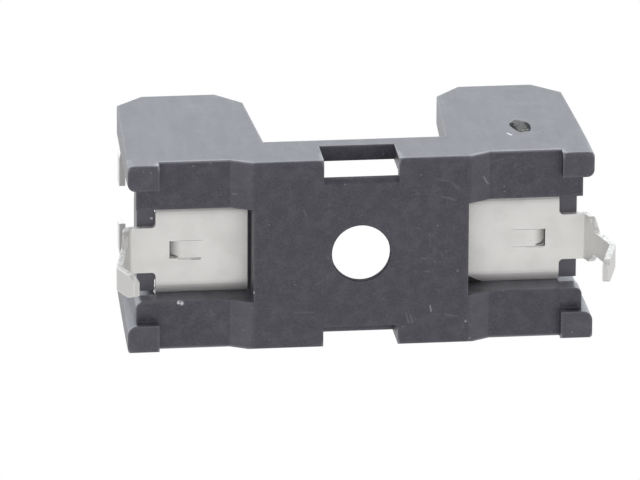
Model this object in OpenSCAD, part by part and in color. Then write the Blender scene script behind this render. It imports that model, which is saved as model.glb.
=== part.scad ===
// Board-mounted open fuse holder for 5 x 20 mm cartridge fuses.
// A moulded base with four corner towers carries two formed spring contact clips.
// Frame: +Z up towards the fuse, z = 0 is the board, X runs along the fuse,
// origin at the centre of the mounting hole.

/* [Fuse] */
// Diameter of the fuse caps that the clips grip
cap_diameter = 5.2; // [5.0:0.1:5.4]
// Height of the fuse axis above the board
fuse_axis_z = 6.2; // [6.1:0.1:6.6]

/* [Base] */
// Length over the towers
body_length = 22.1; // [21.8:0.1:23]
// Width over the long sides
body_width = 9.3; // [9.2:0.1:10.4]
// Top of the floor beside the clips above the board
floor_top = 1.6; // [1.5:0.05:1.7]
// Top of the thin floor between the towers above the board
well_top = 0.55; // [0.5:0.05:0.8]
// Top of the shelf that each clip plate is pushed up against
shelf_top = 2.5; // [2.3:0.05:2.8]
// Half width of the lip at the outer end of each shelf
lip_half = 2.1; // [1.8:0.02:2.2]
// How far the floor stops short of the tower ends
floor_inset = 0.45; // [0.3:0.05:0.6]
// How far the lips stop short of the tower ends
lip_inset = 0.58; // [0.45:0.01:0.7]
// Radius of the outer upright corners
corner_radius = 0.2; // [0.1:0.05:0.4]
// Radius of the long edges at the board and at the tower tops
edge_radius = 0.15; // [0.05:0.05:0.3]

/* [Towers] */
// Height of the towers above the board
tower_height = 10.5; // [10:0.1:12]
// Room between the arms of a clip and the tower walls beside them
pocket_clearance = 0.4; // [0.3:0.05:0.6]
// How far a tower reaches in past the window where it meets the rim
tower_setback = 0.76; // [0.5:0.01:1.0]
// How far the inner edge of a tower leans out below its chamfer
tower_draft = 0.34; // [0.2:0.02:0.7]
// How far the end of a tower leans in below its chamfer
end_lean = 0.35; // [0:0.05:0.5]
// Length of the chamfer on the outer top corner
outer_chamfer_x = 1.43; // [0.8:0.01:1.8]
// Height of the chamfer on the outer top corner
outer_chamfer_z = 1.4; // [0.6:0.1:1.6]
// Length of the chamfer on the inner top corner
inner_chamfer_x = 1.32; // [0.8:0.02:1.6]
// Height of the chamfer on the inner top corner
inner_chamfer_z = 1.5; // [0.6:0.05:1.6]
// Radius of the inner corner of each tower end and its foot
tower_end_radius = 0.45; // [0.2:0.05:0.6]

/* [Rim] */
// Top of the low rim between the towers
rim_height = 3.05; // [2.8:0.05:3.2]
// Thickness of the low rim
rim_wall = 0.75; // [0.6:0.05:1.0]

/* [Underside] */
// Length of the ramp from the plateau to the raised ends
ramp_length = 1.08; // [0.8:0.02:1.4]
// Rise of the ends above the board
end_rise = 0.58; // [0.3:0.02:0.7]
// Length of the corner feet
foot_length = 1.5; // [1.2:0.1:1.8]
// How far the inner side of a front foot stands out from the tower above it
front_foot_setback = 0.13; // [0.1:0.01:0.3]
// Radius of the inner corner of a front foot
front_foot_radius = 0.35; // [0.15:0.01:0.4]

/* [Mounting hole] */
// Diameter of the mounting hole
hole_diameter = 2.78; // [2.4:0.02:3.2]
// Height of the straight land below the countersink
hole_land = 0.3; // [0.2:0.05:0.4]

/* [Cover latch notches] */
// Length of each notch
notch_length = 3.56; // [3:0.02:4.4]
// Gap in plan between the bar and the floor edge inside a notch
notch_gap = 0.25; // [0.1:0.05:0.4]
// Underside of the bar that bridges each notch
bar_bottom_z = 2.17; // [2:0.01:2.3]
// Chamfer on the lower floor edge inside the front notch
notch_chamfer = 0.2; // [0.1:0.05:0.25]

/* [Contact clips] */
// Thickness of the clip sheet
sheet = 0.3; // [0.25:0.01:0.35]
// Underside of the clip plate above the board
plate_z = 1.38; // [1.3:0.02:1.45]
// Distance from the tower ends to the outer end of the clip plate
plate_inset = 1.45; // [1.3:0.01:1.6]
// Length of the clip plate
plate_length = 4.36; // [4.2:0.02:4.4]
// Half width of the flat part of the plate
flat_half = 1.6; // [1.5:0.05:1.65]
// Outer radius of the bend from the plate into the arms
plate_bend_radius = 0.8; // [0.7:0.05:0.85]
// Angle above the fuse axis at which the arms stop gripping
grip_angle = 30; // [24:1:34]
// Lean of the lead-in flare from upright
flare_angle = 40; // [30:1:50]
// Length of the straight lead-in flare
flare_length = 0.7; // [0.4:0.1:0.9]
// Distance from the inner end of the plate to the inner edge of the spring arms
arm_setback = 0.78; // [0.65:0.01:1.0]
// Height of the slanted relief between the plate and the inner edge of an arm
arm_relief = 0.65; // [0.4:0.05:0.9]
// Clearance between the clip and its window in the floor
window_clearance = 0.14; // [0.1:0.01:0.3]
// Width of the window in the floor
window_width = 4.6; // [4.5:0.02:4.7]
// Radius of the back corner where a window meets the end of the floor
window_corner_radius = 0.3; // [0.1:0.05:0.5]

/* [End stops] */
// Width of the arm strip that carries an end stop
stop_carrier = 0.62; // [0.5:0.02:0.8]
// Slit between the spring arm and the end stop strip
stop_slit = 0.14; // [0.1:0.02:0.2]
// Lower edge of the end stops above the board
stop_z = 8.1; // [7.4:0.05:8.2]
// Height of the end stops
stop_height = 0.8; // [0.7:0.1:1.2]
// Distance from the tower ends to the inside face of an end stop
stop_inset = 0.66; // [0.4:0.01:0.9]
// Gap between the two end stops of a clip
stop_gap = 1.9; // [1.4:0.02:2.2]

/* [Lance] */
// Distance from the inner end of the plate to the root of the lance
lance_setback = 2.16; // [1.8:0.01:2.3]
// Length of the lance
lance_length = 1.49; // [1.2:0.01:1.55]
// Length of the flat part of the lance before it bends up
lance_flat = 0.9; // [0.5:0.05:0.9]
// Width of the lance
lance_width = 0.84; // [0.7:0.02:1.1]
// Angle through which the free end of the lance is bent up
lance_turn = 36; // [20:1:50]
// Gap cut along each side of the lance
lance_gap = 0.015; // [0.01:0.005:0.1]
// Gap between the free end of the lance and the plate
lance_end_gap = 0.05; // [0.03:0.01:0.1]

/* [Terminals] */
// Distance from the tower ends to the bend between tongue and terminal
terminal_inset = 0.35; // [0.25:0.01:0.45]
// Width of the tongue and of the terminal shoulder
tongue_width = 2.24; // [2:0.02:2.4]
// Inner radius of the bend from tongue to terminal
terminal_bend = 0.15; // [0.1:0.05:0.3]
// Lower end of the full-width shoulder
shoulder_z = 0.95; // [0.6:0.05:1]
// Height at which the pin reaches its own width
pin_start_z = 0.35; // [0:0.05:0.5]
// Width of the solder pin
pin_width = 1.12; // [0.8:0.02:1.3]
// Height of the tip of the pins, below the board
pin_tip_z = -4.05; // [-4.6:0.05:-3.4]
// Height of the snap-in knee of the left pin, below the board
left_knee_z = -2.4; // [-2.5:0.1:-1.4]
// Lean of the left terminal from upright down to its knee
left_splay = 10.5; // [5:0.5:20]
// Inward offset of the left tip from its knee
left_tip_offset = 0.65; // [0.3:0.01:0.8]
// Height of the snap-in knee of the right pin, below the board
right_knee_z = -1.5; // [-2.5:0.1:-1.4]
// Lean of the right terminal from upright down to its knee
right_splay = 15; // [5:0.5:20]
// Inward offset of the right tip from its knee
right_tip_offset = 0.7; // [0.3:0.01:0.8]

/* [Hidden] */
// Steps in a bend of the clip sheet
bend_steps = 8;
// Facets of round holes and corners
$fn = 48;
// Room that a cut takes past the solid it passes through
past = 1;
// Overlap that joins pieces of one sheet
join = 0.05;
// Inner radius of the neck bend, and its middle radius
neck_inner_radius = 0.4;
neck_radius = neck_inner_radius + sheet / 2;
// Inner radius of the small folds, and their middle radius
fold_inner_radius = 0.3;
small_bend = fold_inner_radius + sheet / 2;
// Inner fillet where the tongue leaves the plate
tongue_fillet = 0.2;
// Clearance between the shelf and the plate bends and inner end of a clip
shelf_clearance = 0.05;
// Room round the lance in the pocket that it springs into, and depth of the pocket
pocket_room = 0.15;
pocket_depth = 0.35;
// Clearance between the upper edge of a window and the plate bend
bend_clearance = 0.04;
// Chamfer on the tip of a pin
tip_chamfer = 0.25;
// Clearance between the end of the clip plate and the lip
lip_clearance = 0.04;
// Inner bevel on the lips, which leads the fuse in
lip_bevel_x = 0.5;
lip_bevel_z = 0.8;

half_length = body_length / 2;
half_width = body_width / 2;
floor_end_x = half_length - floor_inset;
lip_end_x = half_length - lip_inset;
foot_x = half_length - foot_length;
cap_radius = cap_diameter / 2;
tower_inner_y = cap_radius + sheet + pocket_clearance;
rim_inner_y = half_width - rim_wall;
notch_floor_y = rim_inner_y - notch_gap;
plate_end_x = half_length - plate_inset;
plate_start_x = plate_end_x - plate_length;
plate_top_z = plate_z + sheet;
arm_start_x = plate_start_x + arm_setback;
lance_root_x = plate_start_x + lance_setback;
stop_face_x = half_length - stop_inset;
window_start_x = plate_start_x - window_clearance;
// Half width of the plate bend where it passes the top of the floor
bend_reach = flat_half + sqrt(pow(plate_bend_radius, 2) - pow(plate_z + plate_bend_radius - floor_top, 2));
tower_root_x = window_start_x - tower_setback;
lip_start_x = plate_end_x + lip_clearance;
tongue_end_x = half_length - terminal_inset;

PLASTIC = [0.2, 0.2, 0.22];
TIN = [0.81, 0.81, 0.79];

// Outline helpers

// Adds the mirror image of a half outline that runs up the right side
function both_sides(pts) = concat(pts, [for (i = [len(pts) - 1 : -1 : 0]) [-pts[i][0], pts[i][1]]]);

function reversed(pts) = [for (i = [len(pts) - 1 : -1 : 0]) pts[i]];

function mirrored(pts) = [for (p = pts) [-p[0], p[1]]];

// A sheet path is walked as [x, y, heading] stations. A leg is [length] or [radius, turn].
function leg_stations(from, leg) =
    len(leg) == 1
        ? [[from[0] + leg[0] * cos(from[2]), from[1] + leg[0] * sin(from[2]), from[2]]]
        : let (side = sign(leg[1]),
               centre_x = from[0] - side * leg[0] * sin(from[2]),
               centre_y = from[1] + side * leg[0] * cos(from[2]))
          [for (i = [1 : bend_steps])
              let (heading = from[2] + leg[1] * i / bend_steps)
              [centre_x + side * leg[0] * sin(heading), centre_y - side * leg[0] * cos(heading), heading]];

function walk(path, legs, i = 0) =
    i == len(legs) ? path : walk(concat(path, leg_stations(path[len(path) - 1], legs[i])), legs, i + 1);

// One face of the sheet along a walked path, offset to the left of the heading
function sheet_face(path, offset) =
    [for (p = path) [p[0] - offset * sin(p[2]), p[1] + offset * cos(p[2])]];

// Closed outline of a sheet of even thickness along a walked path
function sheet_outline(path) =
    concat(sheet_face(path, -sheet / 2), reversed(sheet_face(path, sheet / 2)));

// Extrudes an outline drawn in X and Z through a width along Y
module across(width) {
    translate([0, width / 2, 0])
        rotate([90, 0, 0])
            linear_extrude(width) children();
}

// Extrudes an outline drawn in Y and Z from one X to another
module along(from_x, to_x) {
    translate([from_x, 0, 0])
        rotate([90, 0, 90])
            linear_extrude(to_x - from_x) children();
}

// Base moulding

// Right half of the underside, from the plateau to the raised end
underside = [[window_start_x, 0], [window_start_x + ramp_length, end_rise]];

module side_wall_outline() {
    tower_top_x = tower_root_x + tower_draft;
    polygon(both_sides(concat(underside, [
        [foot_x, end_rise],
        [foot_x, 0],
        [half_length, 0],
        [half_length - end_lean, tower_height - outer_chamfer_z],
        [half_length - end_lean - outer_chamfer_x, tower_height],
        [tower_top_x + inner_chamfer_x, tower_height],
        [tower_top_x, tower_height - inner_chamfer_z],
        [tower_root_x, rim_height],
    ])));
}

module floor_outline() {
    polygon(both_sides(concat(underside, [[floor_end_x, end_rise], [floor_end_x, floor_top]])));
}

// Long side walls with towers
module side_walls() {
    difference() {
        across(body_width) side_wall_outline();
        translate([-half_length - past, -tower_inner_y, -past])
            cube([body_length + 2 * past, 2 * tower_inner_y, tower_height + 2 * past]);
    }
}

// Cross ledge inside each pair of towers, and the shelf that runs out from it between the arms of a clip
module seat_shelves() {
    shelf_half = flat_half - shelf_clearance;
    for (side = [0, 1])
        mirror([side, 0, 0]) {
            translate([tower_root_x, -tower_inner_y - join, floor_top - join])
                cube([plate_start_x - shelf_clearance - tower_root_x, 2 * tower_inner_y + 2 * join,
                      shelf_top - floor_top + join]);
            translate([tower_root_x, -shelf_half, floor_top - join])
                cube([lip_end_x - tower_root_x, 2 * shelf_half, shelf_top - floor_top + join]);
            end_lip();
        }
}

// Wider lip at the end of a shelf that the clip tongue passes under
module end_lip() {
    across(2 * lip_half)
        polygon([
            [lip_start_x, floor_top - join],
            [lip_end_x, floor_top - join],
            [lip_end_x, rim_height],
            [lip_start_x + lip_bevel_x, rim_height],
            [lip_start_x, rim_height - lip_bevel_z],
        ]);
}

// Blind pockets in the shelves that the lances spring into
module lance_pockets() {
    start_x = lance_root_x + lance_flat / 2;
    end_x = lance_root_x + lance_length + lance_end_gap + pocket_room;
    width = lance_width + 2 * pocket_room;
    for (side = [0, 1])
        mirror([side, 0, 0])
            translate([start_x, -width / 2, plate_top_z - join])
                cube([end_x - start_x, width, pocket_depth + join]);
}

// Rounds the long edges at the board and at the tower tops
module long_edge_envelope() {
    along(-half_length - past, half_length + past)
        translate([0, tower_height / 2])
            rounded_rectangle(body_width, tower_height, edge_radius);
}

// Rounds the upright corners of the body
module plan_envelope() {
    translate([0, 0, -past])
        linear_extrude(tower_height + 2 * past)
            rounded_rectangle(body_length, body_width, corner_radius);
}

module rounded_rectangle(width, height, radius) {
    square([width - 2 * radius, height], center = true);
    square([width, height - 2 * radius], center = true);
    for (x = [-1, 1], y = [-1, 1])
        translate([x * (width / 2 - radius), y * (height / 2 - radius)]) circle(radius);
}

// Rounds the inner upright corner of each tower end and its foot
module tower_end_cutters() {
    for (x_side = [0, 1], y_side = [0, 1])
        mirror([x_side, 0, 0])
            mirror([0, y_side, 0])
                translate([half_length - tower_end_radius, tower_inner_y + tower_end_radius, -past])
                    linear_extrude(tower_height + 2 * past)
                        difference() {
                            translate([0, -tower_end_radius - past])
                                square([tower_end_radius + past, tower_end_radius + past]);
                            circle(tower_end_radius);
                        }
}

// Shortens the front feet and rounds their inner corners
module front_foot_cutters() {
    inner_y = -tower_inner_y - front_foot_setback;
    corner_x = half_length - front_foot_radius;
    for (side = [0, 1])
        mirror([side, 0, 0])
            translate([0, 0, -past])
                linear_extrude(end_rise + past)
                    difference() {
                        translate([foot_x - join, inner_y - front_foot_radius])
                            square([foot_length + past, front_foot_radius + front_foot_setback + join]);
                        translate([foot_x - past, inner_y - front_foot_radius])
                            square([corner_x - foot_x + past, front_foot_radius]);
                        translate([corner_x, inner_y - front_foot_radius]) circle(front_foot_radius);
                    }
}

// Windows in the floor that the clips are pushed up through, narrow at the top beside a plate, open at the ends
module contact_windows() {
    half = window_width / 2;
    top_half = bend_reach + bend_clearance;
    for (side = [0, 1])
        mirror([side, 0, 0]) {
            along(window_start_x, lip_start_x)
                polygon(both_sides([
                    [half, -past],
                    [half, end_rise],
                    [top_half, floor_top],
                    [top_half, plate_top_z],
                ]));
            translate([plate_end_x, -half, -past]) cube([half_length, window_width, plate_top_z + past]);
            window_corner_cutter();
        }
}

// Rounds the back corner where a window meets the end of the floor
module window_corner_cutter() {
    centre_x = floor_end_x - window_corner_radius;
    centre_y = window_width / 2 + window_corner_radius;
    translate([centre_x, centre_y, -past])
        linear_extrude(plate_top_z + past)
            difference() {
                translate([0, -window_corner_radius - join])
                    square([window_corner_radius + past, window_corner_radius + join]);
                circle(window_corner_radius);
            }
}

// Thins the floor and side walls between the towers, so that a screw head sits well below the fuse
module screw_well() {
    translate([-tower_root_x, -rim_inner_y, well_top])
        cube([2 * tower_root_x, 2 * rim_inner_y, tower_height]);
}

// Screw hole with a countersink that keeps the head below the fuse
module mounting_hole() {
    radius = hole_diameter / 2;
    sink = well_top - hole_land;
    translate([0, 0, -past]) cylinder(r = radius, h = well_top + 2 * past);
    translate([0, 0, hole_land])
        cylinder(r1 = radius, r2 = radius + sink + past, h = sink + past);
}

// Notches under the rim on both long sides that take the hooks of a cover, chamfered at the front
module latch_notches() {
    for (side = [0, 1]) {
        chamfer = side * notch_chamfer;
        mirror([0, side, 0])
            along(-notch_length / 2, notch_length / 2)
                polygon([
                    [half_width + past, -past],
                    [notch_floor_y - chamfer - past, -past],
                    [notch_floor_y - chamfer, 0],
                    [notch_floor_y, chamfer],
                    [notch_floor_y, bar_bottom_z],
                    [half_width + past, bar_bottom_z],
                ]);
    }
}

module housing() {
    color(PLASTIC)
        difference() {
            intersection() {
                union() {
                    side_walls();
                    across(2 * tower_inner_y + 2 * join) floor_outline();
                    seat_shelves();
                }
                long_edge_envelope();
                plan_envelope();
            }
            tower_end_cutters();
            front_foot_cutters();
            contact_windows();
            lance_pockets();
            screw_well();
            mounting_hole();
            latch_notches();
        }
}

// Contact clips, drawn for the right end

// Common tangent from the plate bend to the grip arc round the fuse cap
bend_middle = plate_bend_radius - sheet / 2;
grip_middle = cap_radius + sheet / 2;
bend_rise = plate_z + plate_bend_radius;
axis_distance = sqrt(pow(flat_half, 2) + pow(fuse_axis_z - bend_rise, 2));
arm_lean = atan2(fuse_axis_z - bend_rise, flat_half) - acos((grip_middle - bend_middle) / axis_distance);
arm_length = sqrt(pow(axis_distance, 2) - pow(grip_middle - bend_middle, 2));

// From the middle of the plate round the bend to the widest point of the cap
arm_legs = [
    [flat_half],
    [bend_middle, 90 - arm_lean],
    [arm_length],
    [grip_middle, arm_lean],
];

// On over the cap, in at the neck and out into the lead-in flare
spring_legs = [
    [grip_middle, grip_angle],
    [neck_radius, -grip_angle - flare_angle],
    [flare_length],
];

plate_middle = [[0, plate_z + sheet / 2, 0]];

module clip_section(legs) {
    path = walk(plate_middle, legs);
    outer = sheet_face(path, -sheet / 2);
    inner = sheet_face(path, sheet / 2);
    polygon(concat(outer, reversed(inner), mirrored(inner), reversed(mirrored(outer))));
}

// Plate and spring arms, with a plain upright strip at the outer end for the end stops
module clip_body() {
    carrier_x = plate_end_x - stop_carrier;
    along(plate_start_x, carrier_x - stop_slit) clip_section(concat(arm_legs, spring_legs));
    along(carrier_x - stop_slit - join, carrier_x + join) clip_section(arm_legs);
    along(carrier_x, plate_end_x)
        clip_section(concat(arm_legs, [[stop_z + stop_height - fuse_axis_z]]));
}

// Cuts the arms back from the inner end of the plate, along a slanted edge
module arm_relief_cut() {
    across(body_width)
        polygon([
            [plate_start_x - past, plate_top_z],
            [plate_start_x, plate_top_z],
            [arm_start_x, plate_top_z + arm_relief],
            [arm_start_x, tower_height],
            [plate_start_x - past, tower_height],
        ]);
}

// Strip that runs out past the fuse end and folds in as an end stop
module end_stop() {
    straight = stop_face_x + sheet / 2 - small_bend - (plate_end_x - stop_carrier);
    fold_in = grip_middle - small_bend - stop_gap / 2;
    path = walk([[plate_end_x - stop_carrier, grip_middle, 0]], [[straight], [small_bend, -90], [fold_in]]);
    translate([0, 0, stop_z]) linear_extrude(stop_height) polygon(sheet_outline(path));
}

// Tongue from the plate to the terminal bend
module tongue() {
    translate([0, 0, plate_z])
        linear_extrude(sheet) {
            translate([plate_end_x - join, -tongue_width / 2])
                square([tongue_end_x - plate_end_x + join, tongue_width]);
            for (side = [0, 1])
                mirror([0, side]) tongue_corner();
        }
}

// Filleted inner corner between the plate and the tongue
module tongue_corner() {
    translate([plate_end_x - join, tongue_width / 2 - join])
        difference() {
            square(tongue_fillet + join);
            translate([tongue_fillet + join, tongue_fillet + join]) circle(tongue_fillet);
        }
}

// Terminal folded down from the tongue as one leaning blade, with a knee that snaps into the board
module terminal(knee_z, splay, tip_offset) {
    bend = terminal_bend + sheet / 2;
    blade_top_z = plate_z + sheet / 2 - bend * (1 - sin(splay));
    back_angle = atan2(tip_offset, knee_z - pin_tip_z);
    knee_trim = small_bend * tan((splay + back_angle) / 2);
    legs = [
        [bend, splay - 90],
        [(blade_top_z - knee_z) / cos(splay) - knee_trim],
        [small_bend, -splay - back_angle],
        [norm([tip_offset, knee_z - pin_tip_z]) - knee_trim],
    ];
    path = walk([[tongue_end_x, plate_z + sheet / 2, 0]], legs);
    intersection() {
        across(tongue_width + 2 * past) polygon(sheet_outline(path));
        along(tongue_end_x - join, half_length + 2 * past) terminal_front();
    }
}

// Front outline of the terminal: shoulder, taper, pin and chamfered tip
module terminal_front() {
    polygon(both_sides([
        [pin_width / 2 - tip_chamfer, pin_tip_z - sheet],
        [pin_width / 2 - tip_chamfer, pin_tip_z],
        [pin_width / 2, pin_tip_z + 2 * tip_chamfer],
        [pin_width / 2, pin_start_z],
        [tongue_width / 2, shoulder_z],
        [tongue_width / 2, plate_top_z + past],
    ]));
}

module lance_window() {
    translate([lance_root_x, -lance_width / 2 - lance_gap, plate_z - past])
        cube([lance_length + lance_end_gap, lance_width + 2 * lance_gap, sheet + 2 * past]);
}

// Lance cut from the plate on three sides and bent up at its outer end
module lance() {
    radius = (lance_length - lance_flat) / sin(lance_turn) - sheet / 2;
    path = walk([[lance_root_x - join, plate_z + sheet / 2, 0]], [[join + lance_flat], [radius, lance_turn]]);
    across(lance_width) polygon(sheet_outline(path));
}

module contact_clip(knee_z, splay, tip_offset) {
    color(TIN) {
        difference() {
            clip_body();
            arm_relief_cut();
            lance_window();
        }
        for (side = [0, 1])
            mirror([0, side, 0]) end_stop();
        tongue();
        terminal(knee_z, splay, tip_offset);
        lance();
    }
}

module right_contact_clip() {
    contact_clip(right_knee_z, right_splay, right_tip_offset);
}

module left_contact_clip() {
    mirror([1, 0, 0]) contact_clip(left_knee_z, left_splay, left_tip_offset);
}

housing();
left_contact_clip();
right_contact_clip();
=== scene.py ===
"""Finishes a board-mounted fuse holder: black moulding, tinned clips, gate scar, stage and camera."""

import math

import bmesh
import bpy
from bpy.props import FloatProperty, FloatVectorProperty, PointerProperty
from mathutils import Matrix, Vector, noise


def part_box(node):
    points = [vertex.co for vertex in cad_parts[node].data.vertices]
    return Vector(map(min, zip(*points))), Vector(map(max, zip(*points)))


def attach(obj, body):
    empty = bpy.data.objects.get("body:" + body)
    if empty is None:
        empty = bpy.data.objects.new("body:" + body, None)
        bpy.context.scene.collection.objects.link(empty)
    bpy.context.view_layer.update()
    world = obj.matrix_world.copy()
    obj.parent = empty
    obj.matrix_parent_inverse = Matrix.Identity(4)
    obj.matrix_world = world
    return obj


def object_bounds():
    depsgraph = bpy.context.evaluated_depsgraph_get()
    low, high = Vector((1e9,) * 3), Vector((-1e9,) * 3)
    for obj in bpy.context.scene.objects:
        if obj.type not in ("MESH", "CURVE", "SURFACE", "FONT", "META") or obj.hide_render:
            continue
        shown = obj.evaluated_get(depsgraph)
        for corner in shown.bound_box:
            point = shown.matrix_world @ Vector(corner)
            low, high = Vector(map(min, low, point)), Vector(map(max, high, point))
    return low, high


bl_info = {
    "name": "Board Fuse Holder",
    "version": (1, 0, 0),
    "blender": (4, 5, 0),
    "location": "View3D > Sidebar > Fuse Holder",
    "description": "Finishes a board-mounted fuse holder and sets it on a plain stage",
    "category": "Object",
}

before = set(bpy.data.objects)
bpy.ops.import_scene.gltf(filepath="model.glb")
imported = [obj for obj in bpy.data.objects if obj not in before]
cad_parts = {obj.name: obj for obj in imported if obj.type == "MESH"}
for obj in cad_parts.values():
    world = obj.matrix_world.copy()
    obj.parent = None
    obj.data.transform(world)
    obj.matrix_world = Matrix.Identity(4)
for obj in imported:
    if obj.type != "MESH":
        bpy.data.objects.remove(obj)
CAD_BOX = [list(corner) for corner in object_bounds()]

MM = 0.001
HOUSING = "housing"
CLIPS = ("left_contact_clip", "right_contact_clip")
HOUSING_LOW, HOUSING_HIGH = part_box(HOUSING)
WHITE = (1.0, 1.0, 1.0)

# How the patterns fade, as shares of a cloud's range or of a mark's width
CLOUD_MEAN = 0.5
HAIRLINE_PATCH = 0.45
HAIRLINE_SHOWN = (0.52, 0.62)
SPECK_EASE = (0.0, 0.6)
MARK_EASE = (0.0, 0.5)
EDGE_EASE = (0.05, 0.45)
EDGE_SAMPLES, BEVEL_SAMPLES = 8, 6

# Places on the moulding, in millimetres in the part's frame
RAMP_START, RAMP_END = 5.1, 6.18
RAMP_EASE = (5.0, 5.3)
END_RISE = 0.57
FOOT_START, FOOT_TOP = 9.55, 0.1
FOOT_LINE = (0.9, 1.4)
RECESS_HALF, RECESS_LOW, RECESS_HIGH = 2.45, 0.62, 2.6
LONG_WALL = (4.3, 4.5)
END_WALL = (9.4, 9.6)
WALL_FACING = (0.6, 0.8)
BORE_RADIUS = 1.42
SILL_NEAR, SILL_FAR, SILL_HALF = 3.5, 3.75, 2.0
WINDOW_HALF, WINDOW_LOW, WINDOW_HIGH = 2.4, 0.2, 1.7
WINDOW_LIGHT = (5.7, 6.6)

# How far each kind of wear, painted light or painted edge highlight pales the moulding, and where its clouds
# show
MOTTLE_SHOWN, GRAIN_SHOWN, FLECK_SHOWN = (0.38, 0.70), (0.40, 0.75), (0.4, 0.55)
MOTTLING, GRAINING, SMUDGING, STREAKING = 0.4, 0.5, 0.45, 1.6
# Painted light: shares by which the ramps, feet, shelves and lips are painted paler
RAMP_PAINTED_LIGHT, FOOT_PAINTED_LIGHT, SHELF_PAINTED_LIGHT, LIP_PAINTED_LIGHT = 0.62, 0.3, 0.3, 0.7
# Painted edge highlight: its shares on the long walls, the end walls, all edges and the high edges
SIDE_EDGE_HIGHLIGHT, END_EDGE_HIGHLIGHT, EDGE_HIGHLIGHT, HIGH_EDGE_HIGHLIGHT, FOOT_SPREAD = 0.75, 0.1, 0.12, 0.3, 1.5
RIGHT_WINDOW, LEFT_WINDOW_LESS = 0.32, 0.17
SCRATCHING, CROSSING, DUSTING = 0.22, 0.2, 0.6

# How the moulding's patterns vary its roughness and its relief
MOTTLE_ROUGHNESS, GRAIN_ROUGHNESS, SILL_ROUGHNESS = 0.16, 0.12, 0.35
MOTTLE_RELIEF, GRAIN_RELIEF, SCRATCH_RELIEF = 0.6, 0.7, 0.3

# Single pale marks on the moulding: start, end, width and, in the table, strength
FLECK = ((-8.54, 2.36, 0.58), (-8.48, 2.38, 0.58), 0.17)
SCUFFS = (
    ((7.33, -4.65, 3.22), (7.47, -4.65, 2.93), 0.07, 1.0),
    ((-5.14, 1.78, 0.0), (-5.12, 1.78, 0.0), 0.08, 1.0),
    ((-9.78, -1.51, 1.68), (-9.76, -1.50, 1.68), 0.07, 0.7),
    ((5.84, -3.47, 0.40), (6.00, -3.16, 0.48), 0.05, 0.2),
    ((6.00, -3.16, 0.48), (6.13, -3.08, 0.55), 0.05, 0.1),
    ((3.29, 2.73, 0.0), (3.34, 3.02, 0.0), 0.05, 0.25),
    ((4.98, 3.58, 0.0), (4.99, 3.59, 0.0), 0.06, 0.4),
    ((4.58, 1.03, 0.0), (4.59, 1.04, 0.0), 0.06, 0.2),
    ((5.19, 4.45, 0.05), (5.20, 4.45, 0.05), 0.06, 0.3),
    ((2.14, 3.04, 0.0), (2.28, 3.55, 0.0), 0.05, 0.07),
    ((2.34, 3.17, 0.0), (2.46, 3.55, 0.0), 0.05, 0.07),
    ((4.01, 3.20, 0.0), (4.60, 3.32, 0.0), 0.05, 0.06),
    ((2.85, 0.34, 0.0), (3.09, 0.38, 0.0), 0.05, 0.06),
    ((2.98, 1.00, 0.0), (3.27, 1.04, 0.0), 0.05, 0.06),
    ((3.80, 0.09, 0.0), (3.86, 0.35, 0.0), 0.05, 0.05),
    ((3.78, -2.71, 0.0), (4.47, -2.50, 0.0), 0.05, 0.06),
    ((3.47, -3.59, 0.0), (4.18, -3.44, 0.0), 0.05, 0.04),
    ((4.30, -3.38, 0.0), (4.54, -3.06, 0.0), 0.05, 0.05),
    ((-2.74, -2.25, 0.0), (-2.62, -1.94, 0.0), 0.07, 0.05),
    ((-6.06, -3.00, 0.51), (-5.89, -2.99, 0.42), 0.05, 0.1),
    ((-3.19, 2.85, 0.0), (-2.24, 2.88, 0.0), 0.05, 0.04),
)

# Places on the clips, in millimetres in the part's frame
LANCE_BEND = (8.35, 8.95)
LANCE_END, LANCE_HALF, LANCE_CORNER = 8.92, 0.43, 0.2
GAP_END, GAP_SLOPE, GAP_OFFSET, GAP_TOP = 6.05, 0.56, -1.16, 1.66
SHEARED_START, SHEARED_TOP = 9.7, 2.2
SHEARED_FACING = (0.5, 0.8)
TOP_FACING = (0.3, 0.7)
ARM_START, ARM_END = (2.0, 3.0), 9.3
PIN_START, BLADE_TOP, TIP_START = 10.85, 1.75, -1.4

# How far each kind of wear, painted shade or painted highlight shows on the clips, and where its clouds show
PATCH_SHOWN, BURR_SHOWN = (0.4, 0.7), (0.46, 0.60)
PATCHING, ROLLING, SCORING, PITTING = 0.7, 0.2, 0.15, 0.5
# Painted shade on the spring arms and on their stops
ARM_TONE, STOP_TONE = 0.6, 0.4
RIGHT_LANCE, LEFT_LANCE_MORE = 0.55, 0.05
# BRIGHT_RIM is the strength of the painted highlight along the edges
BURRING, BURR_RIM, BRIGHT_RIM = 0.6, 0.7, 0.7

# How the clips' patterns vary their roughness and their relief
PATCH_ROUGHNESS, ROLLED_ROUGHNESS = 0.12, 0.10
PATCH_RELIEF, ROLLED_RELIEF, SCORE_RELIEF = 0.6, 0.6, 0.4

# Shadows along the lances: start and end in plan, width and strength
LANCE_SHADOWS = (
    ((-8.88, 0.30), (-8.60, 0.37), 0.07, 0.9),
    ((-8.50, 0.46), (-7.95, 0.48), 0.06, 0.35),
    ((-7.88, 0.48), (-7.50, 0.48), 0.06, 0.8),
    ((8.05, 0.46), (8.80, 0.47), 0.06, 0.25),
    ((8.52, 0.36), (8.78, 0.30), 0.06, 0.8),
    ((8.78, 0.30), (8.89, 0.16), 0.06, 0.9),
)

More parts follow.
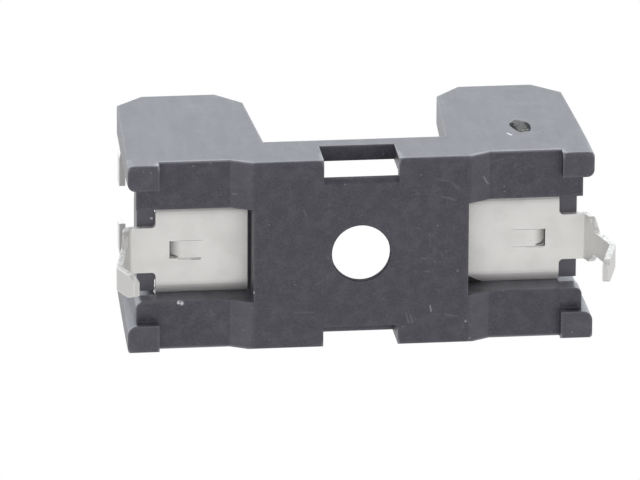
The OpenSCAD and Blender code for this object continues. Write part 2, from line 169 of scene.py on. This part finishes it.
# Outline and surface of the gate scar
SCAR_FLECKS = ((-0.26, 0.50), (-0.27, 0.06), (0.0, -0.70), (0.26, -0.62))
SCAR_FLECK_RUN, SCAR_FLECK_WIDTH, SCAR_FLECKING = Vector((0.02, 0.0, 0.05)), 0.065, 0.65
SCAR_FLECK_SIDES = (0.3, 0.6)
# Painted shade in the scar's crevices and pits: where it shows and how dark
SCAR_CREVICE_SIDES, SCAR_CREVICE_SHOWN, SCAR_CREVICE_SHADE = (0.3, 0.8), (0.30, 0.46), 0.06
SCAR_PITS_FILLED, SCAR_PIT_SHADE = (0.36, 0.46), 0.7
SCAR_ROUGHNESS, SCAR_ROUGHER, SCAR_GLOSS = 0.6, 0.3, 0.2
SCAR_SPOKES, SCAR_RINGS, SCAR_SUNK = 40, 9, 0.05 * MM
SCAR_LOBE, SCAR_LOBE_TURN, SCAR_RIPPLE, SCAR_RIPPLES = 0.14, 0.9, 0.06, 5.0
SCAR_TEAR, SCAR_LIFT, SCAR_LIFT_SWING, SCAR_LEAN = 0.16 * MM, 0.7, 0.6, 0.16

# Stage
FLOOR_MOTTLE = 0.2
SIDEWAYS = (0.1, 0.9)
KEY_TOWARDS = Vector((0.0, -0.68, 1.0))
SENSOR_WIDTH = 36.0
CAMERA_NEAR, CAMERA_FAR = 0.005, 10.0


# Shader expressions


class Signal:
    """A number that varies over a surface; Python operators on it add Math nodes."""

    def __init__(self, graph, socket):
        self.graph = graph
        self.socket = socket

    def math(self, operation, *values):
        return self.graph.node("ShaderNodeMath", {"operation": operation}, dict(enumerate(values)))

    def __add__(self, other):
        return self.math("ADD", self, other)

    def __radd__(self, other):
        return self.math("ADD", other, self)

    def __sub__(self, other):
        return self.math("SUBTRACT", self, other)

    def __rsub__(self, other):
        return self.math("SUBTRACT", other, self)

    def __mul__(self, other):
        return self.math("MULTIPLY", self, other)

    def __rmul__(self, other):
        return self.math("MULTIPLY", other, self)

    def __truediv__(self, other):
        return self.math("DIVIDE", self, other)

    def __rtruediv__(self, other):
        return self.math("DIVIDE", other, self)

    def __gt__(self, other):
        return self.math("GREATER_THAN", self, other)

    def __lt__(self, other):
        return self.math("LESS_THAN", self, other)

    def __abs__(self):
        return self.math("ABSOLUTE", self)

    def positive(self):
        return self.math("MAXIMUM", self, 0.0)

    def clamped(self):
        return self.graph.node("ShaderNodeClamp", {}, {"Value": self})

    def swing(self):
        """A cloud's value about its mean."""
        return self - CLOUD_MEAN

    def above(self, low, high):
        """0 below low, 1 above high, eased between."""
        settings = {"interpolation_type": "SMOOTHSTEP"}
        inputs = {"Value": self, "From Min": low, "From Max": high}
        return self.graph.node("ShaderNodeMapRange", settings, inputs)


class Graph:
    """The node tree of one material or of the world."""

    def __init__(self, owner):
        owner.use_nodes = True
        self.tree = owner.node_tree
        self.tree.nodes.clear()

    def node(self, kind, settings=None, inputs=None, output=0):
        """Adds a node of any kind, with its settings first and then the values or links of its sockets."""
        made = self.tree.nodes.new(kind)
        for name, value in (settings or {}).items():
            setattr(made, name, value)
        for name, value in (inputs or {}).items():
            socket = made.inputs[name]
            if isinstance(value, Signal):
                self.tree.links.new(value.socket, socket)
            elif socket.type == "RGBA" and len(value) == 3:
                socket.default_value = (*value, 1.0)
            else:
                socket.default_value = value
        return Signal(self, made.outputs[output]) if made.outputs else made

    def mix(self, factor, first, second):
        """Blend of two colours."""
        inputs = {0: factor, 6: first, 7: second}
        return self.node("ShaderNodeMix", {"data_type": "RGBA"}, inputs, output=2)

    def vector(self, operation, *values, output=0):
        return self.node("ShaderNodeVectorMath", {"operation": operation}, dict(enumerate(values)), output)

    def scaled(self, vector, factor):
        return self.node("ShaderNodeVectorMath", {"operation": "SCALE"}, {0: vector, "Scale": factor})

    def axes(self, vector):
        """The X, Y and Z parts of a vector."""
        first = self.node("ShaderNodeSeparateXYZ", {}, {"Vector": vector})
        return [Signal(self, socket) for socket in first.socket.node.outputs]

    def place(self):
        """The surface point in millimetres in the part's own frame."""
        point = self.node("ShaderNodeTexCoord", output="Object")
        return self.scaled(point, 1.0 / MM)

    def facing(self):
        """The X, Y and Z parts of the direction that the surface faces."""
        return self.axes(self.node("ShaderNodeNewGeometry", output="Normal"))

    def cloud(self, place, per_mm=1.0, detail=3.0, roughness=0.5):
        """Soft noise with a given number of cells in a millimetre."""
        inputs = {"Vector": place, "Scale": per_mm, "Detail": detail, "Roughness": roughness}
        return self.node("ShaderNodeTexNoise", {}, inputs)

    def stretched(self, place, stretch, turn=(0.0, 0.0, 0.0)):
        """The point turned and then stretched, so that clouds become streaks."""
        settings = {"rotation_type": "EULER_XYZ"}
        turned = self.node("ShaderNodeVectorRotate", settings, {"Vector": place, "Rotation": turn})
        return self.vector("MULTIPLY", turned, stretch)

    def hairlines(self, place, turn, stretch, width):
        """Fine scratches: the level lines of a streaked cloud, broken up by a second cloud."""
        streak = self.cloud(self.stretched(place, stretch, turn), detail=0.0)
        line = (1.0 - abs(streak.swing()) / width).clamped()
        return line * self.cloud(place, per_mm=HAIRLINE_PATCH, detail=1.0).above(*HAIRLINE_SHOWN)

    def specks(self, place, per_mm, size, share):
        """Small round flecks in a share of the cells of a Voronoi pattern."""
        inputs = {"Vector": place, "Scale": per_mm}
        distance = self.node("ShaderNodeTexVoronoi", {}, inputs, output="Distance")
        tint = self.node("ShaderNodeTexVoronoi", {}, inputs, output="Color")
        chosen = self.node("ShaderNodeSeparateColor", {}, {"Color": tint}) < share
        return (1.0 - distance / (size * per_mm)).above(*SPECK_EASE) * chosen

    def mark(self, place, start, end, width):
        """A single scratch between two points, in millimetres."""
        run = Vector(end) - Vector(start)
        offset = self.vector("SUBTRACT", place, tuple(start))
        part = self.vector("DOT_PRODUCT", offset, tuple(run / run.length_squared), output="Value").clamped()
        nearest = self.scaled(tuple(run), part)
        distance = self.vector("LENGTH", self.vector("SUBTRACT", offset, nearest), output="Value")
        return (1.0 - distance / width).above(*MARK_EASE)

    def edges(self, reach):
        """1 along the outer edges of the shape, fading to 0 at a given distance from them."""
        settings = {"samples": EDGE_SAMPLES, "inside": True, "only_local": True}
        hidden = self.node("ShaderNodeAmbientOcclusion", settings, {"Distance": reach}, output="AO")
        return (1.0 - hidden).above(*EDGE_EASE)

    def relief(self, height, depth, edge):
        """Normal of a bumpy surface whose sharp edges are eased."""
        eased = self.node("ShaderNodeBevel", {"samples": BEVEL_SAMPLES}, {"Radius": edge})
        inputs = {"Height": height, "Distance": depth, "Strength": 1.0, "Normal": eased}
        return self.node("ShaderNodeBump", {}, inputs)

    def surface(self, inputs):
        """Ends the tree in one Principled shader."""
        shader = self.node("ShaderNodeBsdfPrincipled", {}, inputs)
        self.node("ShaderNodeOutputMaterial", {}, {"Surface": shader})


def clear_material(name):
    """A material of that name with an empty node tree."""
    material = bpy.data.materials.get(name) or bpy.data.materials.new(name)
    return material, Graph(material)


# Settings


def colour(name, description, default):
    return FloatVectorProperty(name=name, description=description, subtype="COLOR", size=3, min=0.0, max=1.0,
                               default=default)


def length(name, description, default):
    return FloatProperty(name=name, description=description, subtype="DISTANCE", unit="LENGTH", precision=6,
                         default=default)


def share(name, description, default):
    return FloatProperty(name=name, description=description, subtype="FACTOR", min=0.0, max=1.0,
                         default=default)


def amount(name, description, default, low=0.0):
    return FloatProperty(name=name, description=description, subtype="UNSIGNED", min=low, default=default)


class MouldingSettings(bpy.types.PropertyGroup):
    """Finish of the black moulding."""

    plastic: colour("Plastic", "Colour of the moulded plastic", (0.015, 0.014, 0.021))
    # Besides rubbed wear, this colour paints light onto the ramps, feet, shelves and lips
    pale_wear_and_light: colour("Worn plastic", "Colour where the plastic is rubbed pale", (0.078, 0.076, 0.086))
    dust: colour("Dust", "Colour of dust flecks and hairline scratches", (0.30, 0.30, 0.32))
    mark: colour("Mark", "Colour of single nicks, crumbs and scuffs", (0.75, 0.75, 0.78))
    roughness: share("Roughness", "Mean roughness of the moulded face", 0.42)
    sheen: colour("Sheen", "Colour of the plastic's reflection seen straight on", (0.90, 0.88, 1.0))
    gloss: share("Gloss", "Strength of the plastic's reflection", 0.9)
    grain: length("Grain depth", "Depth of the fine grain left by the mould", 0.006 * MM)
    edge: length("Edge", "Radius that eases the sharp edges", 0.07 * MM)
    # The edge colour is a painted highlight along the edges, and it also paints light onto the window walls
    rim: colour("Edge wear", "Colour of the plastic along its rubbed edges", (0.26, 0.26, 0.275))
    rim_reach: length("Edge wear width", "Width of the rubbed edges", 0.14 * MM)


class TinSettings(bpy.types.PropertyGroup):
    """Finish of the tinned contact clips."""

    tin: colour("Tin", "Colour of the tin plating", (0.86, 0.845, 0.815))
    dull: colour("Dull tin", "Colour of the duller patches", (0.79, 0.78, 0.75))
    scratch: colour("Scratch", "Colour of handling scratches and burrs", (0.42, 0.42, 0.41))
    # The arm colour is painted shade on the spring arms, their stops and their faces that look up
    arm: colour("Arm", "Colour of the spring arms", (0.52, 0.515, 0.50))
    # The pin colour is painted shade on the left pin and on the tip of the right pin
    pin: colour("Pin", "Colour of the handled pins", (0.68, 0.67, 0.645))
    shade: colour("Shade", "Colour of the bent lances and the dark plate corner", (0.12, 0.12, 0.115))
    roughness: share("Roughness", "Mean roughness of the plating", 0.5)
    lustre: share("Lustre", "Share of metal in the plating, the rest being matt bloom", 0.5)
    grain: length("Grain depth", "Depth of the rolling grain of the sheet", 0.002 * MM)
    edge: length("Edge", "Radius that eases the stamped edges", 0.05 * MM)
    # The bright edge colour is a painted highlight along the stamped edges
    rim: colour("Bright edge", "Colour of the tin along its stamped edges", (0.93, 0.93, 0.91))
    rim_reach: length("Bright edge width", "Width of the bright edges", 0.09 * MM)


class ScarSettings(bpy.types.PropertyGroup):
    """Torn mark left where the moulding broke off its gate."""

    plastic: colour("Torn plastic", "Colour of the torn plastic", (0.165, 0.17, 0.16))
    fleck: colour("Fleck", "Colour of the pale flecks in the torn plastic", (0.5, 0.5, 0.5))
    width: length("Width", "Width of the scar along the wall", 0.86 * MM)
    height: length("Height", "Height of the scar up the wall", 1.95 * MM)
    proud: length("Proud", "How far the torn plastic stands off the wall", 0.06 * MM)
    inset: length("Inset", "Distance from the right end of the housing to the scar", 2.965 * MM)
    rise: length("Rise", "Height of the scar above the board", 4.2 * MM)
    grain: length("Grain depth", "Depth of the torn grain", 0.06 * MM)
    edge: length("Edge", "Radius that eases the torn edges", 0.02 * MM)


class StageSettings(bpy.types.PropertyGroup):
    """Floor, light and camera."""

    floor: colour("Floor", "Colour of the floor", (0.86, 0.86, 0.86))
    floor_patch: colour("Floor patches", "Colour of the floor's faint patches", (0.80, 0.80, 0.80))
    floor_size: length("Floor size", "Width of the floor", 0.6)
    ambient: colour("Ambient", "Light that reaches the object from all round", (0.72, 0.72, 0.74))
    sides: colour("Sides", "Light that reflections see towards the sides", (0.74, 0.74, 0.75))
    key_radiance: amount("Key light", "Brightness of the key light", 1.40)
    key_tint: colour("Key tint", "Colour of the key light", (0.885, 0.955, 1.0))
    key_size: length("Key size", "Width of the key light", 0.3)
    key_distance: length("Key distance", "Height of the key light above the object", 0.16)
    turn: FloatVectorProperty(
        name="Camera turn", description="Turn of the camera about X, Y and Z", subtype="EULER",
        unit="ROTATION", default=tuple(math.radians(angle) for angle in (19.371, -6.321, -1.914)))
    focal: amount("Focal length", "Focal length in picture widths", 14.919, low=1.0)
    distance: length("Camera distance", "Distance from the camera to the object", 450.0 * MM)
    aim: FloatVectorProperty(
        name="Aim", description="Place of the origin across the view, right and down", size=2, subtype="XYZ",
        unit="LENGTH", default=(1.947 * MM, 0.627 * MM))


class HolderSettings(bpy.types.PropertyGroup):
    """All settings of the fuse holder."""

    moulding: PointerProperty(type=MouldingSettings)
    tin: PointerProperty(type=TinSettings)
    scar: PointerProperty(type=ScarSettings)
    stage: PointerProperty(type=StageSettings)


# Finishes


def moulding_finish(settings):
    """Black moulded plastic: mottling, fine grain, dust, hairline scratches and scuffs, with painted
    highlights along the edges and painted light on the ramps, feet, recesses and window walls.
    """
    material, graph = clear_material("black_moulding")
    place = graph.place()
    x, y, height = graph.axes(place)
    along, aside, left = abs(x), abs(y), x < 0.0
    wall = abs(graph.facing()[1]).above(*WALL_FACING)

    mottle = graph.cloud(place, per_mm=1.6, detail=4.0, roughness=0.6)
    grain = graph.cloud(place, per_mm=9.0, detail=3.0, roughness=0.65)
    smudge = graph.cloud(place, per_mm=0.6, detail=4.0, roughness=0.6)
    streaks = graph.cloud(graph.stretched(place, (1.6, 1.0, 0.3)), roughness=0.6)
    lines = graph.hairlines(place, turn=(0.3, 0.2, 0.5), stretch=(0.12, 3.2, 3.2), width=0.010)
    crossing = graph.hairlines(place, turn=(-0.2, 0.4, 1.9), stretch=(0.10, 2.6, 2.6), width=0.008)
    dust = graph.specks(place, per_mm=2.5, size=0.05, share=0.22)
    marks = graph.mark(place, *FLECK) * grain.above(*FLECK_SHOWN)
    for start, end, width, strength in SCUFFS:
        marks = marks + graph.mark(place, start, end, width) * strength

    # Painted light: the ramps, the feet, and the shelves and lips inside are painted paler
    ramps = along.above(*RAMP_EASE) * (along < RAMP_END) * (height < END_RISE)
    feet = (along > FOOT_START) * (height < FOOT_TOP)
    inside = (aside < RECESS_HALF) * (height > RECESS_LOW) * (height < RECESS_HIGH)
    painted_recess_light = inside * (along > RAMP_START) * SHELF_PAINTED_LIGHT + inside * (along > FOOT_START) * LIP_PAINTED_LIGHT
    bore = (along * along + aside * aside) < BORE_RADIUS ** 2
    sill = wall * (aside > SILL_NEAR) * (aside < SILL_FAR) * (along < SILL_HALF)
    window = wall * (aside < WINDOW_HALF) * (height > WINDOW_LOW) * (height < WINDOW_HIGH)
    lit_window = window * along.above(*WINDOW_LIGHT) * (RIGHT_WINDOW - left * LEFT_WINDOW_LESS)

    rubbed = mottle.above(*MOTTLE_SHOWN) * MOTTLING + grain.above(*GRAIN_SHOWN) * GRAINING
    rubbed = rubbed + smudge.swing() * SMUDGING + wall * streaks.swing() * STREAKING
    wear_and_painted_light = rubbed + ramps * RAMP_PAINTED_LIGHT + feet * FOOT_PAINTED_LIGHT + painted_recess_light
    body = graph.mix(wear_and_painted_light.clamped(), settings.plastic, settings.pale_wear_and_light)

    # Painted edge highlight: the outer edges, most of all the low edges of the long walls, are paled with the
    # edge colour, and the window walls get painted light in the same colour
    outer = (aside.above(*LONG_WALL) * SIDE_EDGE_HIGHLIGHT + along.above(*END_WALL) * END_EDGE_HIGHLIGHT).clamped()
    foot_line = 1.0 - height.above(*FOOT_LINE)
    edges = graph.edges((wall * foot_line * FOOT_SPREAD + 1.0) * settings.rim_reach)
    low_outer = outer * (foot_line * (1.0 - HIGH_EDGE_HIGHLIGHT) + HIGH_EDGE_HIGHLIGHT)
    painted_edge_highlight = edges * (low_outer + EDGE_HIGHLIGHT).clamped() * (1.0 - bore)
    rimmed = graph.mix((painted_edge_highlight + lit_window).clamped(), body, settings.rim)
    specks = lines * SCRATCHING + crossing * CROSSING + dust * DUSTING
    flecked = graph.mix(specks.clamped(), rimmed, settings.dust)

    uneven = mottle.swing() * MOTTLE_ROUGHNESS + grain.swing() * GRAIN_ROUGHNESS
    bumps = grain * GRAIN_RELIEF + mottle * MOTTLE_RELIEF - lines * SCRATCH_RELIEF
    graph.surface({
        "Base Color": graph.mix(marks.clamped(), flecked, settings.mark),
        "Roughness": (uneven + settings.roughness + bore + sill * SILL_ROUGHNESS).clamped(),
        "Specular IOR Level": settings.gloss,
        "Specular Tint": settings.sheen,
        "Normal": graph.relief(bumps, settings.grain, settings.edge),
    })
    return material


def tin_finish(settings):
    """Tin-plated sheet: rolling grain, duller patches, scratches and burred cut edges, with painted
    highlights along the edges and painted shade on the arms, pins, lances and a dark plate corner.
    """
    material, graph = clear_material("tinned_sheet")
    place = graph.place()
    x, y, height = graph.axes(place)
    along, aside, left = abs(x), abs(y), x < 0.0

    patch = graph.cloud(place, per_mm=0.9)
    rolled = graph.cloud(graph.stretched(place, (1.2, 14.0, 14.0)))
    burr = graph.cloud(graph.stretched(place, (4.5, 2.0, 3.0)), roughness=0.6)
    pits = graph.specks(place, per_mm=1.6, size=0.04, share=0.18)
    lines = graph.hairlines(place, turn=(0.1, 0.0, 0.9), stretch=(0.25, 3.6, 3.6), width=0.010)
    dulled = patch.above(*PATCH_SHOWN) * PATCHING + rolled * ROLLING
    plated = graph.mix(dulled, settings.tin, settings.dull)
    marked = graph.mix((lines * SCORING + pits * PITTING).clamped(), plated, settings.scratch)

    facing = graph.facing()
    # Painted shade: the raised arms, their stops and their faces that look up are darkened towards the arm
    # colour
    raised = height.above(*ARM_START)
    tops = raised * facing[2].above(*TOP_FACING)
    arms = raised * ((along < ARM_END) * ARM_TONE + STOP_TONE)
    # Painted shade: the left pin and the tip of the right pin are darkened towards the pin colour
    pins = (along > PIN_START) * (height < BLADE_TOP) * ((height < TIP_START) + left).clamped()
    sprung = graph.mix((arms + tops).clamped(), marked, settings.arm)
    wear_and_painted_light = graph.mix(pins, sprung, settings.pin)

    past_end = (along - (LANCE_END - LANCE_CORNER)).positive()
    past_side = (aside - (LANCE_HALF - LANCE_CORNER)).positive()
    rounded = past_end * past_end + past_side * past_side < LANCE_CORNER ** 2
    shadow = along.above(*LANCE_BEND) * rounded * (left * LEFT_LANCE_MORE + RIGHT_LANCE)
    plan = graph.vector("MULTIPLY", place, (1.0, 1.0, 0.0))
    for start, end, width, strength in LANCE_SHADOWS:
        shadow = shadow + graph.mark(plan, (*start, 0.0), (*end, 0.0), width) * strength
    # Painted shadow: a dark corner on the right plate stands in for the shaded gap there, which is not
    # modelled
    corner = (along < GAP_END) * (y - along * GAP_SLOPE > GAP_OFFSET)
    painted_gap_shade = corner * (height < GAP_TOP) * (1.0 - left)
    shaded = graph.mix((shadow + painted_gap_shade).clamped(), wear_and_painted_light, settings.shade)

    cut = abs(facing[1]).above(*SHEARED_FACING)
    sheared = cut * (along > SHEARED_START) * (height < SHEARED_TOP)
    stamped = graph.mix(sheared * burr.above(*BURR_SHOWN) * BURRING, shaded, settings.scratch)
    # Painted highlight along the edges, weaker on sheared faces and absent on the faces of the arms that look
    # up
    rim = graph.edges(settings.rim_reach) * (1.0 - sheared * BURR_RIM) * (1.0 - tops)
    uneven = patch.swing() * PATCH_ROUGHNESS + rolled.swing() * ROLLED_ROUGHNESS
    bumps = rolled * ROLLED_RELIEF + patch * PATCH_RELIEF - lines * SCORE_RELIEF
    graph.surface({
        "Base Color": graph.mix(rim * BRIGHT_RIM, stamped, settings.rim),
        "Metallic": settings.lustre,
        "Roughness": uneven + settings.roughness,
        "Normal": graph.relief(bumps, settings.grain, settings.edge),
    })
    return material


def scar_finish(settings):
    """Torn plastic: rough, with painted shade in its pits and in the crevices at both sides, and pale flecks.
    """
    material, graph = clear_material("torn_plastic")
    place = graph.place()
    torn = graph.cloud(place, per_mm=6.0, detail=4.0, roughness=0.75)
    centre = scar_centre(settings) / MM
    offset = graph.vector("SUBTRACT", place, tuple(centre))
    sideways = (2.0 * MM / settings.width, 0.0, 0.0)
    across = abs(graph.vector("DOT_PRODUCT", offset, sideways, output="Value"))
    # Painted shade: the pits and the crevices at both sides of the scar are darkened
    pit_shade = (1.0 - torn.above(*SCAR_PITS_FILLED)) * SCAR_PIT_SHADE
    crevice_shade = across.above(*SCAR_CREVICE_SIDES) * torn.above(*SCAR_CREVICE_SHOWN) + pit_shade
    flecks = graph.specks(place, per_mm=4.5, size=0.07, share=0.3) * across.above(*SCAR_FLECK_SIDES)
    for side, up in SCAR_FLECKS:
        spot = centre + Vector((side, 0.0, up))
        flecks = flecks + graph.mark(place, spot, spot + SCAR_FLECK_RUN, SCAR_FLECK_WIDTH)
    dark = tuple(SCAR_CREVICE_SHADE * channel for channel in settings.plastic)
    ragged = graph.mix(crevice_shade.clamped(), settings.plastic, dark)
    graph.surface({
        "Base Color": graph.mix(flecks.clamped() * SCAR_FLECKING, ragged, settings.fleck),
        "Roughness": torn * SCAR_ROUGHER + SCAR_ROUGHNESS,
        "Specular IOR Level": SCAR_GLOSS,
        "Normal": graph.relief(torn, settings.grain, settings.edge),
    })
    return material


def dress(node, material):
    """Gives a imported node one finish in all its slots."""
    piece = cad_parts.get(node)
    if piece is None:
        raise RuntimeError(f"the packed model has no node {node}")
    piece.data.materials.clear()
    piece.data.materials.append(material)
    for face in piece.data.polygons:
        face.material_index = 0


class FinishMoulding(bpy.types.Operator):
    """Give the housing its black moulded finish"""

    bl_idname = "fuse_holder.finish_moulding"
    bl_label = "Finish Moulding"

    def execute(self, context):
        dress(HOUSING, moulding_finish(context.scene.fuse_holder.moulding))
        return {"FINISHED"}


class FinishClips(bpy.types.Operator):
    """Give both contact clips their tinned finish"""

    bl_idname = "fuse_holder.finish_clips"
    bl_label = "Finish Clips"

    def execute(self, context):
        tin = tin_finish(context.scene.fuse_holder.tin)
        for clip in CLIPS:
            dress(clip, tin)
        return {"FINISHED"}


# Gate scar


def scar_centre(settings):
    """Middle of the scar on the front wall."""
    return Vector((HOUSING_HIGH.x - settings.inset, HOUSING_LOW.y, settings.rise))


def scar_ring(settings, centre, radius):
    """One ring of the scar, as points on a wavy lens outline that stand off the wall towards the middle."""
    points = []
    for i in range(SCAR_SPOKES):
        angle = math.tau * i / SCAR_SPOKES
        lobe = SCAR_LOBE * math.sin(2.0 * angle + SCAR_LOBE_TURN)
        wave = 1.0 + lobe + SCAR_RIPPLE * math.sin(SCAR_RIPPLES * angle)
        across = radius * wave * math.cos(angle) * settings.width / 2.0
        up = radius * wave * math.sin(angle) * settings.height / 2.0
        rough = noise.noise(Vector((across, up, 0.0)) / SCAR_TEAR)
        lift = settings.proud * (1.0 - radius ** 2) * (SCAR_LIFT + SCAR_LIFT_SWING * rough)
        points.append(centre + Vector((across - SCAR_LEAN * up, -lift, up)))
    return points


def scar_mesh(settings):
    """A shallow torn blister on the front wall, closed behind the wall's face."""
    centre = scar_centre(settings)
    shell = bmesh.new()
    rings = [scar_ring(settings, centre, (k + 1) / SCAR_RINGS) for k in range(SCAR_RINGS)]
    loops = [[shell.verts.new(point) for point in ring] for ring in rings]
    loops.append([shell.verts.new(v.co + Vector((0.0, SCAR_SUNK, 0.0))) for v in loops[-1]])
    for inner, outer in zip(loops, loops[1:]):
        for i in range(SCAR_SPOKES):
            j = (i + 1) % SCAR_SPOKES
            shell.faces.new((inner[i], inner[j], outer[j], outer[i]))
    shell.faces.new(list(reversed(loops[0])))
    shell.faces.new(loops[-1])
    bmesh.ops.recalc_face_normals(shell, faces=shell.faces)
    mesh = bpy.data.meshes.new("gate_scar")
    shell.to_mesh(mesh)
    shell.free()
    mesh.shade_smooth()
    return mesh


class AddGateScar(bpy.types.Operator):
    """Add the torn gate mark on the front wall of the right tower"""

    bl_idname = "fuse_holder.add_gate_scar"
    bl_label = "Add Gate Scar"

    def execute(self, context):
        settings = context.scene.fuse_holder.scar
        scar = bpy.data.objects.new("gate_scar", scar_mesh(settings))
        context.scene.collection.objects.link(scar)
        scar.data.materials.append(scar_finish(settings))
        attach(scar, "root")
        return {"FINISHED"}


# Stage


def pale_floor(settings):
    """A floor that takes the object's shadow from above and lets light and sight through from below."""
    low_z = CAD_BOX[0][2]
    half = settings.floor_size / 2.0
    corners = [(-half, -half, low_z), (half, -half, low_z), (half, half, low_z), (-half, half, low_z)]
    mesh = bpy.data.meshes.new("floor")
    mesh.from_pydata(corners, [], [(0, 1, 2, 3)])
    floor = bpy.data.objects.new("floor", mesh)
    material, graph = clear_material("pale_floor")
    grain = graph.cloud(graph.place(), per_mm=0.15, detail=4.0)
    paint = graph.mix(grain * FLOOR_MOTTLE, settings.floor, settings.floor_patch)
    matte = graph.node("ShaderNodeBsdfPrincipled", {},
                       {"Base Color": paint, "Roughness": 1.0, "Specular IOR Level": 0.0})
    clear = graph.node("ShaderNodeBsdfTransparent")
    seen = graph.node("ShaderNodeLightPath", output="Is Camera Ray")
    behind = graph.node("ShaderNodeNewGeometry", output="Backfacing")
    shown = graph.node("ShaderNodeMixShader", {}, {0: seen * (1.0 - behind), 1: clear, 2: matte})
    graph.node("ShaderNodeOutputMaterial", {}, {"Surface": shown})
    mesh.materials.append(material)
    return floor


def white_world(settings):
    """Even light all round, with plain white for the camera and for reflections that look up or down."""
    world = bpy.data.worlds.new("white_world")
    graph = Graph(world)
    camera = graph.node("ShaderNodeLightPath", output="Is Camera Ray")
    glossy = graph.node("ShaderNodeLightPath", output="Is Glossy Ray")
    through = graph.node("ShaderNodeLightPath", output="Is Transmission Ray")
    sight = graph.axes(graph.node("ShaderNodeTexCoord", output="Generated"))
    sideways = 1.0 - abs(sight[2]).above(*SIDEWAYS)
    mirrored = graph.mix(sideways, WHITE, settings.sides)
    reflected = graph.mix(glossy, settings.ambient, mirrored)
    light = graph.mix((camera + through).clamped(), reflected, WHITE)
    backdrop = graph.node("ShaderNodeBackground", {}, {"Color": light, "Strength": 1.0})
    graph.node("ShaderNodeOutputWorld", {}, {"Surface": backdrop})
    return world


def soft_box(name, place, settings):
    """A square lamp that faces down, with a set brightness whatever its size."""
    lamp = bpy.data.lights.new(name, "AREA")
    lamp.shape = "SQUARE"
    lamp.size = settings.key_size
    lamp.color = settings.key_tint
    lamp.energy = settings.key_radiance * math.pi * settings.key_size ** 2
    box = bpy.data.objects.new(name, lamp)
    box.location = place
    box.visible_camera = False
    return box


def photo_camera(settings):
    """The camera that looks up at the underside, from its turn, distance and aim."""
    turn_x, turn_y, turn_z = settings.turn
    turn = Matrix.Rotation(turn_z, 3, "Z") @ Matrix.Rotation(turn_y, 3, "Y") @ Matrix.Rotation(turn_x, 3, "X")
    right, down, ahead = turn
    axes = Matrix((right, -down, -ahead)).transposed().to_4x4()
    offset = Vector((settings.aim[0], settings.aim[1], settings.distance))
    lens = bpy.data.cameras.new("photo_camera")
    lens.sensor_fit = "HORIZONTAL"
    lens.sensor_width = SENSOR_WIDTH
    lens.lens = SENSOR_WIDTH * settings.focal
    lens.clip_start = CAMERA_NEAR
    lens.clip_end = CAMERA_FAR
    camera = bpy.data.objects.new("photo_camera", lens)
    camera.matrix_world = Matrix.Translation(-(turn.transposed() @ offset)) @ axes
    return camera


class SetStage(bpy.types.Operator):
    """Set up the floor, the light and the camera"""

    bl_idname = "fuse_holder.set_stage"
    bl_label = "Set Stage"

    def execute(self, context):
        scene = context.scene
        settings = scene.fuse_holder.stage
        floor = pale_floor(settings)
        key = soft_box("key_light", KEY_TOWARDS * settings.key_distance, settings)
        camera = photo_camera(settings)
        for thing in (floor, key, camera):
            scene.collection.objects.link(thing)
        scene.world = white_world(settings)
        scene.camera = camera
        scene.view_settings.view_transform = "Standard"
        return {"FINISHED"}


class FuseHolderPanel(bpy.types.Panel):
    """Settings and steps of the fuse holder"""

    bl_idname = "VIEW3D_PT_fuse_holder"
    bl_label = "Fuse Holder"
    bl_space_type = "VIEW_3D"
    bl_region_type = "UI"
    bl_category = "Fuse Holder"

    def draw(self, context):
        settings = context.scene.fuse_holder
        for group in (settings.moulding, settings.tin, settings.scar, settings.stage):
            box = self.layout.box()
            for name in group.__annotations__:
                box.prop(group, name)
        for step in STEPS:
            self.layout.operator(step.bl_idname)


STEPS = (FinishMoulding, FinishClips, AddGateScar, SetStage)
GROUPS = (MouldingSettings, TinSettings, ScarSettings, StageSettings, HolderSettings)
CLASSES = (*GROUPS, *STEPS, FuseHolderPanel)


def register():
    for item in CLASSES:
        bpy.utils.register_class(item)
    bpy.types.Scene.fuse_holder = PointerProperty(type=HolderSettings)


def unregister():
    del bpy.types.Scene.fuse_holder
    for item in reversed(CLASSES):
        bpy.utils.unregister_class(item)


def main():
    register()
    bpy.ops.fuse_holder.finish_moulding()
    bpy.ops.fuse_holder.finish_clips()
    bpy.ops.fuse_holder.add_gate_scar()
    bpy.ops.fuse_holder.set_stage()


if __name__ == "__main__":
    main()
